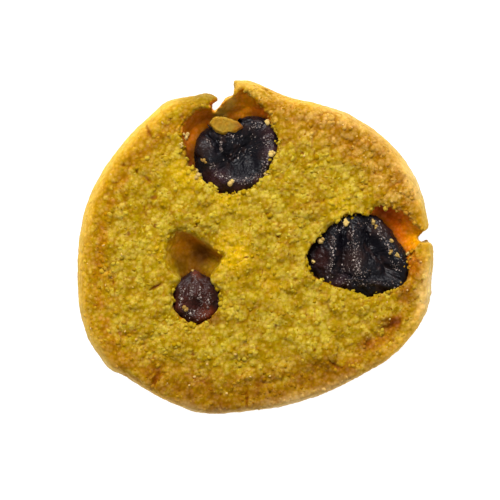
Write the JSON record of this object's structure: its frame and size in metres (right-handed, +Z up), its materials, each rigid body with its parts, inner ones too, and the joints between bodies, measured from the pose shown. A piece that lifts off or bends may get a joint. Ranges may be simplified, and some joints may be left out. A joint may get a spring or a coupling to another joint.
{
  "type": "raisin biscuit",
  "caption": "Thick round crumbly biscuit with a smooth rolled rim, raisins set in torn hollows of its top, and a flat underside.",
  "frame": {"origin": "middle of the bounding box's underside, on the face the biscuit lies on", "axes": "+Z up through the thickness, +X along the longest side, +Y towards the torn V in the rim"},
  "size_m": [0.0482, 0.045, 0.0095],
  "materials": {
    "dough": "baked crumb, dry and coarse, browned at the rim",
    "raisin": "dried fruit skin, wrinkled, dark purple-brown with a slight gloss"
  },
  "bodies": {
    "root": {"biscuit": "dough", "raisin_upper": "raisin", "raisin_right": "raisin", "raisin_small": "raisin"}
  },
  "joints": []
}
